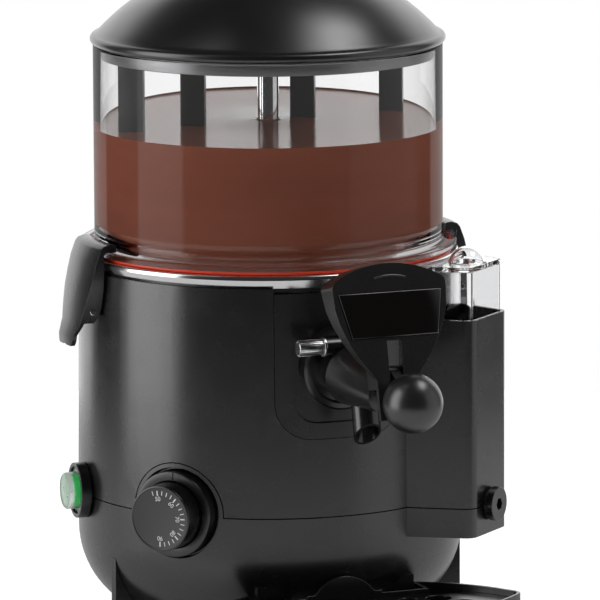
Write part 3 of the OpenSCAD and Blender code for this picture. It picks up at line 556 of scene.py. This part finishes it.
def make_lid():
    rim = LID_RIM_Z
    lid = bmesh.new()
    turn(lid, [(BOWL_R - 6, rim)]
         + arc(BOWL_R - 1.2, rim + 3.1, 3.1, -90, 82, 14)
         + arc(0, DOME_Z, DOME_R, 42.6, 90, 48)
         + arc(0, DOME_Z, DOME_R - 2.8, 90, 43.4, 24), 256)
    piece("lid_dome", lid, place(), LID_BLACK, "lid_body", "black_plastic", "lid", sharp=60)
    band = bmesh.new()
    turn(band, rounded([(107, rim - 8.5, 0.3), (109.2, rim - 8.5, 0.5),
                        (109.2, rim - 0.05, 0.2), (107, rim - 0.05)]), 256)
    piece("lid_skirt_band", band, place(), BAND, "lid_body", "band_grey", "lid_band")
    knob = bmesh.new()
    top = DOME_Z + DOME_R
    seat = math.sqrt((DOME_R + 0.02) ** 2 - 13 ** 2)
    turn(knob, [(0, top + 0.02), (6.5, DOME_Z + math.sqrt((DOME_R + 0.02) ** 2 - 6.5 ** 2))]
         + rounded([(13, DOME_Z + seat), (12.2, top + 1.5, 2), (10.5, top + 4, 1.5),
                    (14.5, top + 9.5, 1.2), (17, top + 11.5, 1.4), (16.8, top + 14.5, 2),
                    (13.5, top + 18, 3), (0, top + 19)], 5), 96)
    piece("lid_grip", knob, place(), TRIM, "lid_body", "black_plastic", "lid_knob")


# ---- bowl, rim and drink ----

def make_bowl():
    bowl = bmesh.new()
    foot = FLANGE_TOP_Z - 3.5
    turn(bowl, rounded([(107, foot), (FLANGE_R, foot, 0.6), (FLANGE_R, FLANGE_TOP_Z, 1.2),
                        (BOWL_R, FLANGE_TOP_Z, 4), (BOWL_R, BOWL_TOP_Z, 1.1),
                        (BOWL_R - BOWL_WALL, BOWL_TOP_Z, 1.1),
                        (BOWL_R - BOWL_WALL, FLANGE_TOP_Z + 8, 9),
                        (107, foot + 5)], 8), 288)
    piece("clear_bowl", bowl, place(), BOWL_CLEAR, "root", "clear_plastic", "bowl", sharp=50)
    seal = bmesh.new()
    turn(seal, rounded([(115.3, SEAL_TOP_Z - 2.5, 0.4), (118.4, SEAL_TOP_Z - 2.5, 0.9),
                        (118.4, SEAL_TOP_Z, 0.9), (115.3, SEAL_TOP_Z, 0.4)]), 256)
    piece("silicone_seal", seal, place(), SEAL_ORANGE, "root", "seal_orange", "bowl_seal")
    ring = bmesh.new()
    low = BODY_TOP_Z
    turn(ring, rounded([(107.8, low), (121.3, low, 0.4), (123.2, low + 5.4, 0.5),
                        (122.6, RING_TOP_Z, 1.2),
                        (112.1, RING_TOP_Z, 0.4), (112.1, RING_TOP_Z - 1.6),
                        (107.8, RING_TOP_Z - 1.6)], 6), 256)
    piece("steel_rim_ring", ring, place(), STEEL, "root", "steel", "rim_ring")
    pipe = bmesh.new()
    turn(pipe, rounded([(5.2, 134.5), (TUBE_R, 134.5), (TUBE_R, 380, 0.5), (5.2, 380, 0.5)]), 96)
    piece("chrome_centre_tube", pipe, place(), CHROME, "root", "bright_steel", "centre_tube")


def make_drink():
    drink = bmesh.new()
    wall = PAN_R - 1.8
    side = BOWL_R - BOWL_WALL + DRINK_OVERLAP
    turn(drink, [(TUBE_R + 0.3, 188.3)]
         + rounded([(0, 188.3), (wall, 188.3, 6), (wall, 262)])[1:]
         + arc(98, 275, side - 98, -42, 0, 6)
         + [(side, DRINK_Z), (side - 0.4, DRINK_Z - 0.5), (side - 1.2, DRINK_Z - 0.95),
            (side - 2.6, DRINK_Z - 1.2), (side - 6, DRINK_Z - 1.25), (60, DRINK_Z - 1.25),
            (TUBE_R + 3, DRINK_Z - 1.25), (TUBE_R + 1, DRINK_Z - 1.0), (TUBE_R + 0.3, DRINK_Z - 0.5)],
         224)
    made = piece("chocolate_drink", drink, place(), DRINK, "stirrer", "chocolate", "hot_chocolate")
    slots = bmesh.new()
    for radius in BLADE_AT:
        middle = Matrix.Translation((radius, 0, 0)) @ Matrix.Rotation(math.radians(-BLADE_LEAN), 4, "Z")
        corners = [middle @ Vector((x * (BLADE_W / 2 + 0.3), y * (BLADE_T / 2 + 0.3), 0))
                   for x, y in ((-1, -1), (1, -1), (1, 1), (-1, 1))]
        extrude(slots, [(c.x, c.y) for c in corners], 195.7, 360)
    knife = piece("knife", slots, place(), DRINK, "stirrer", "chocolate")
    cut_with(made, knife)


# ---- tap ----

def make_ball():
    reach = Vector((BALL_Y - LEVER_Y, BALL_Z - LEVER_Z))
    lean = math.degrees(math.atan2(reach.x, reach.y))
    radius = BALL_D / 2
    bore = 3.01
    neck = math.degrees(math.acos(bore / radius))
    ball = bmesh.new()
    turn(ball, [(0, -8), (bore, -8)] + arc(0, 0, radius, -neck, 90, 72)[:-1] + [(0, radius)], 144)
    frame_matrix = tap_frame() @ turned_about(0, BALL_Y, BALL_Z, -lean, "X")
    piece("tap_ball", ball, frame_matrix, BALL_BLACK, "tap_lever_body", "gloss_black", "ball_knob")


def make_flow_screw():
    frame_matrix = tap_frame() @ turned_about(0, SCREW_Y, SCREW_Z, -90, "Y")
    screw = bmesh.new()
    turn(screw, rounded([(0, 6), (2.99, 6, 0.5), (2.99, 18.3), (6.4, 18.3, 0.5), (6.4, 20.1, 0.6),
                         (0, 20.1)]), 64)
    teeth = 26
    levels = [(20.0, 0.90), (20.6, 1.0), (35.4, 1.0), (36.1, 0.94), (36.4, 0.84)]
    rings = []
    for z, scale in levels:
        ring = []
        for i in range(teeth * 4):
            radius = KNURL_R * scale - (0.45 if i % 4 in (2, 3) else 0.0)
            angle = math.tau * i / (teeth * 4)
            ring.append(screw.verts.new((radius * math.cos(angle), radius * math.sin(angle), z)))
        rings.append(ring)
    for lower, upper in zip(rings, rings[1:]):
        for i in range(teeth * 4):
            k = (i + 1) % (teeth * 4)
            screw.faces.new([lower[i], lower[k], upper[k], upper[i]])
    screw.faces.new(rings[0][::-1])
    screw.faces.new(rings[-1])
    piece("knurled_flow_screw", screw, frame_matrix, SCREW_METAL, "flow_regulator", "bright_steel",
          "flow_screw", sharp=25)


def make_label():
    plate = bmesh.new()
    extrude(plate, [(34.7, 23.9), (30.1, -4.3), (-27.7, -4.3), (-34.7, 23.9)], -0.98, 1.15, 0.8, 4)
    piece("bare_label_plate", plate, shield_frame(), LABEL, "root", "label_black", "label_plate")
    grip = bmesh.new()
    tube(grip, [(x, y, 0.1) for x, y in arc(0.5, -5, 39, 74, 106, 16)], 0.75, 10)
    piece("shield_grip_line", grip, shield_frame(), TRIM, "root", "black_plastic")


def make_spring():
    wire = bmesh.new()
    low, high = SPRING_ENDS[0] + SPRING_WIRE_R, SPRING_ENDS[1] - SPRING_WIRE_R
    steps = 40
    path = [(SPRING_R * math.cos(math.tau * i / steps), SPRING_R * math.sin(math.tau * i / steps),
             low + (high - low) * i / (SPRING_TURNS * steps))
            for i in range(SPRING_TURNS * steps + 1)]
    tube(wire, path, SPRING_WIRE_R, 12)
    made = piece("wound_tap_spring", wire, tap_frame(), CHROME, "tap_valve", "bright_steel",
                 "tap_spring")
    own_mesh(made)


# ---- controls ----

def make_dial():
    frame_matrix = radial(DIAL_ANGLE, DIAL_Z)
    bezel = bmesh.new()
    turn(bezel, rounded([(4.2, 117), (DIAL_BASE_R, 117), (DIAL_BASE_R, 119.5, 0.6),
                         (DIAL_RING_R, 119.5, 0.4), (DIAL_RING_R, 130.5, 0.9),
                         (KNOB_R + 0.6, 130.5, 0.5), (KNOB_R + 0.6, 125.5, 0.4),
                         (4.2, 125.5)]), 144)
    piece("dial_surround", bezel, frame_matrix, TRIM, "root", "black_plastic", "dial_bezel")
    knob = bmesh.new()
    turn(knob, rounded([(0, 113), (3, 113, 0.5), (3, 126), (KNOB_R, 126, 0.4),
                        (KNOB_R, DIAL_FRONT, 0.8), (KNOB_R - 1.4, DIAL_FRONT, 0.2),
                        (KNOB_R - 1.7, DIAL_FACE, 0.2), (0, DIAL_FACE)]), 144)
    piece("temperature_dial", knob, frame_matrix, TRIM, "dial", "black_plastic", "dial_knob")
    make_dial_print(frame_matrix)


def make_dial_print(frame_matrix):
    """Tick marks and plain numbers on the knob's face, and the index on the surround."""
    marks = bmesh.new()
    for i in range(TICKS):
        angle = TICK_FIRST - i * TICK_STEP
        bold = i % 4 == 1
        across = 0.42 if bold else 0.27
        outline = [(14.8 if bold else 15.2, -across), (18.0, -across), (18.0, across),
                   (14.8 if bold else 15.2, across)]
        turned = Matrix.Rotation(math.radians(angle), 2)
        extrude(marks, [tuple(turned @ Vector(p)) for p in outline],
                DIAL_FACE - 0.1, DIAL_FACE + 0.05)
    piece("dial_ticks", marks, frame_matrix, PRINT, "dial", "white_plastic")
    for i, number in enumerate(DIAL_NUMBERS):
        angle = TICK_FIRST - (4 * i + 1) * TICK_STEP
        curve = bpy.data.curves.new("number", "FONT")
        curve.body = number
        curve.size = 4.0
        curve.align_x = "CENTER"
        curve.align_y = "CENTER"
        curve.extrude = 0.08
        word = bpy.data.objects.new("number", curve)
        bpy.context.scene.collection.objects.link(word)
        data = bpy.data.meshes.new_from_object(
            word.evaluated_get(bpy.context.evaluated_depsgraph_get()))
        bpy.data.objects.remove(word)
        at = Matrix.Rotation(math.radians(angle), 4, "Z") @ Matrix.Translation((12.6, 0, DIAL_FACE))
        number_mesh = bmesh.new()
        number_mesh.from_mesh(data)
        bmesh.ops.remove_doubles(number_mesh, verts=number_mesh.verts, dist=0.001)
        number_mesh.transform(at @ Matrix.Rotation(math.radians(-90), 4, "Z"))
        piece("dial_number_" + number, number_mesh, frame_matrix, PRINT, "dial", "white_plastic")
    index = bmesh.new()
    extrude(index, [(0.5, 22.6), (1.2, 22.6), (1.2, 27.3), (0.5, 27.3)], 130.2, 130.95, 0.2)
    piece("dial_index", index, frame_matrix, TRIM, "root", "black_plastic")


def make_switch():
    frame_matrix = radial(SWITCH_ANGLE, SWITCH_Z)
    front = SWITCH_FRONT
    button = bmesh.new()
    turn(button, rounded([(0, 116), (BUTTON_R, 116), (BUTTON_R, front + 3, 0.8), (0, front + 3)]), 96)
    piece("lit_button", button, frame_matrix, LIT_GREEN, "power_switch", "green_button",
          "power_button")
    cap = bmesh.new()
    outer = BUTTON_R + 1.6
    inner = BUTTON_R + 0.4
    turn(cap, rounded([(inner, front - 2.9), (15, front - 2.9, 0.3), (15, front - 1.7, 0.5),
                       (outer, front - 1.4, 0.6), (outer - 0.2, front + 7.2, 2.0),
                       (0.01, front + 8), (0.01, front + 3.4), (inner, front + 3.4, 0.6)], 6), 96)
    piece("clear_splash_cap", cap, frame_matrix, CAP_CLEAR, "root", "clear_plastic", "switch_cap")


# ---- studio ----

# camera-side directions of the studio's panels, degrees, as (left, right, bottom, top), with
# the brightness of each and the softness of its edges. 0 is the camera, + its right.
PANELS = [
    ((-95, -58), (-35, 45), 2.8, 2.0),
    ((55, 114), (-35, 40), 0.55, 3.0),
    ((62, 130), (54, 72), 5.0, 4.0),
    ((-90, -58), (60, 73), 0.9, 4.0),
]
BACKDROP_FROM = 134.0     # the white sweep behind the object starts at this angle on both sides
BACKDROP_TOP = 33.0
BACKDROP_LIGHT = 1.5      # what gloss sees of it
STUDIO_DIM = 0.03         # what gloss sees of the studio between the panels
STUDIO_FILL = 0.55        # the same for matt surfaces
FLOOR_RADIUS = 0.9
FLOOR_TONE = 0.6
FLOOR_LIFT = 0.62
FLOOR_GLOSS_LIFT = 0.14
BOWL_SHINE = 0.25         # how much of the studio the clear bowl mirrors on its outside
BOWL_GLOW = 0.6           # the pale light that gathers inside its wall


def make_camera():
    azimuth, elevation = math.radians(CAM_AZIMUTH), math.radians(CAM_ELEVATION)
    back = Vector((math.sin(azimuth) * math.cos(elevation),
                   -math.cos(azimuth) * math.cos(elevation),
                   math.sin(elevation)))
    target = Vector((0, AXIS_Y * MM, CAM_TARGET_Z))
    data = bpy.data.cameras.new("camera")
    cam = bpy.data.objects.new("camera", data)
    bpy.context.scene.collection.objects.link(cam)
    cam.rotation_mode = "QUATERNION"
    cam.location = target + back * CAM_DISTANCE
    roll = Matrix.Rotation(math.radians(CAM_ROLL), 3, "Z").to_quaternion()
    cam.rotation_quaternion = (-back).to_track_quat("-Z", "Y") @ roll
    data.sensor_width = 36.0
    data.lens = data.sensor_width * CAM_DISTANCE / FRAME_WIDTH_AT_TARGET
    data.shift_x = (PICTURE_SIZE / 2 - TARGET_PIXEL_X) / PICTURE_SIZE
    data.clip_start, data.clip_end = 0.1, 100.0
    bpy.context.scene.camera = cam


def maths(tree, operation, first, second=None):
    """A Math node of two sockets or numbers."""
    node = add(tree, "ShaderNodeMath", operation=operation)
    for i, value in enumerate((first, second)):
        if value is None:
            continue
        if isinstance(value, (int, float)):
            node.inputs[i].default_value = value
        else:
            tree.links.new(value, node.inputs[i])
    return node.outputs[0]


def ramp(tree, value, start, end, low, high):
    """A smooth step from low at start to high at end."""
    node = add(tree, "ShaderNodeMapRange", interpolation_type="SMOOTHSTEP")
    for name, number in (("From Min", start), ("From Max", end), ("To Min", low), ("To Max", high)):
        node.inputs[name].default_value = number
    tree.links.new(value, node.inputs["Value"])
    return node.outputs["Result"]


def window(tree, value, low, high, soft):
    """1 between low and high, 0 outside, with edges this soft."""
    rise = ramp(tree, value, low - soft, low + soft, 0.0, 1.0)
    fall = ramp(tree, value, high - soft, high + soft, 1.0, 0.0)
    return maths(tree, "MULTIPLY", rise, fall)


def studio_directions(tree):
    """The direction of a world ray: degrees round from the camera's side, and degrees up."""
    coords = add(tree, "ShaderNodeTexCoord")
    azimuth = math.radians(CAM_AZIMUTH)
    dots = []
    for axis in ((math.cos(azimuth), math.sin(azimuth), 0),
                 (math.sin(azimuth), -math.cos(azimuth), 0), (0, 0, 1)):
        dot = add(tree, "ShaderNodeVectorMath", operation="DOT_PRODUCT")
        dot.inputs[1].default_value = axis
        tree.links.new(coords.outputs["Generated"], dot.inputs[0])
        dots.append(dot.outputs["Value"])
    right, toward, up = dots
    around = maths(tree, "MULTIPLY", maths(tree, "ARCTAN2", right, toward), math.degrees(1))
    upward = maths(tree, "MULTIPLY", maths(tree, "ARCSINE", up), math.degrees(1))
    return around, upward


def straight_view(tree, path):
    """1 for what the camera sees past the object, also through clear pieces, and 0 for reflections."""
    mirrored = maths(tree, "ADD", path.outputs["Glossy Depth"], path.outputs["Diffuse Depth"])
    clean = maths(tree, "LESS_THAN", mirrored, 0.5)
    through = maths(tree, "MULTIPLY", path.outputs["Is Transmission Ray"], clean)
    return maths(tree, "MAXIMUM", path.outputs["Is Camera Ray"], through)


def bowl_light(tree, path, light):
    """The studio as the clear bowl mirrors it: dimmed on its outside, an even glow inside its wall."""
    mirrored = maths(tree, "MULTIPLY", path.outputs["Is Singular Ray"],
                     maths(tree, "GREATER_THAN", path.outputs["Glossy Depth"], 0.5))
    passes = path.outputs["Transmission Depth"]
    outside = maths(tree, "MULTIPLY", mirrored, maths(tree, "LESS_THAN", passes, 0.5))
    inside = maths(tree, "MULTIPLY", maths(tree, "SUBTRACT", mirrored, outside),
                   maths(tree, "LESS_THAN", passes, 2.5))
    light = maths(tree, "MULTIPLY", light, ramp(tree, outside, 0.0, 1.0, 1.0, BOWL_SHINE))
    light = maths(tree, "MULTIPLY", light, maths(tree, "SUBTRACT", 1.0, inside))
    return maths(tree, "ADD", light, maths(tree, "MULTIPLY", inside, BOWL_GLOW))


def make_world():
    """White where the camera or a ray through glass looks past the object, and a studio of soft
    panels before a white sweep for gloss and for matt surfaces."""
    world = bpy.data.worlds.new("studio")
    bpy.context.scene.world = world
    world.use_nodes = True
    tree = world.node_tree
    background = tree.nodes["Background"]
    background.inputs["Color"].default_value = (1, 1, 1, 1)
    path = add(tree, "ShaderNodeLightPath")
    around, upward = studio_directions(tree)
    matt = maths(tree, "GREATER_THAN", path.outputs["Diffuse Depth"], 0.5)
    light = ramp(tree, matt, 0.0, 1.0, STUDIO_DIM, STUDIO_FILL)
    sweep = maths(tree, "MULTIPLY",
                  ramp(tree, maths(tree, "ABSOLUTE", around), BACKDROP_FROM - 2, BACKDROP_FROM + 2,
                       0.0, BACKDROP_LIGHT),
                  ramp(tree, upward, BACKDROP_TOP - 6, BACKDROP_TOP + 6, 1.0, 0.0))
    light = maths(tree, "MAXIMUM", light, sweep)
    for sides, heights, brightness, soft in PANELS:
        shape = maths(tree, "MULTIPLY", window(tree, around, *sides, soft),
                      window(tree, upward, *heights, soft))
        light = maths(tree, "ADD", light, maths(tree, "MULTIPLY", shape, brightness))
    light = bowl_light(tree, path, light)
    seen = straight_view(tree, path)
    rest = maths(tree, "MULTIPLY", light, maths(tree, "SUBTRACT", 1.0, seen))
    tree.links.new(maths(tree, "ADD", rest, seen), background.inputs["Strength"])


def make_floor():
    disc = bmesh.new()
    corners = [disc.verts.new((FLOOR_RADIUS * math.cos(math.tau * i / 128),
                               FLOOR_RADIUS * math.sin(math.tau * i / 128), 0)) for i in range(128)]
    disc.faces.new(corners)
    mesh = bpy.data.meshes.new("floor")
    disc.to_mesh(mesh)
    disc.free()
    floor = bpy.data.objects.new("floor", mesh)
    floor.location = (0, AXIS_Y * MM, -0.0005)
    bpy.context.scene.collection.objects.link(floor)
    mat, tree, shader = new_material("floor_pale")
    shader.inputs["Base Color"].default_value = (FLOOR_TONE, FLOOR_TONE, FLOOR_TONE, 1)
    shader.inputs["Roughness"].default_value = 0.9
    shader.inputs["Specular IOR Level"].default_value = 0.1
    shader.inputs["Emission Color"].default_value = (1, 1, 1, 1)
    path = add(tree, "ShaderNodeLightPath")
    seen = straight_view(tree, path)
    lift = maths(tree, "ADD", maths(tree, "MULTIPLY", seen, FLOOR_LIFT),
                 maths(tree, "MULTIPLY", path.outputs["Is Glossy Ray"], FLOOR_GLOSS_LIFT))
    tree.links.new(lift, shader.inputs["Emission Strength"])
    floor.data.materials.append(mat)


def make_studio():
    make_world()
    make_floor()
    bpy.context.scene.view_settings.view_transform = "Standard"


make_camera()
make_studio()
dress_cad()
make_lid()
make_bowl()
make_drink()
make_ball()
make_flow_screw()
make_label()
make_spring()
make_dial()
make_switch()
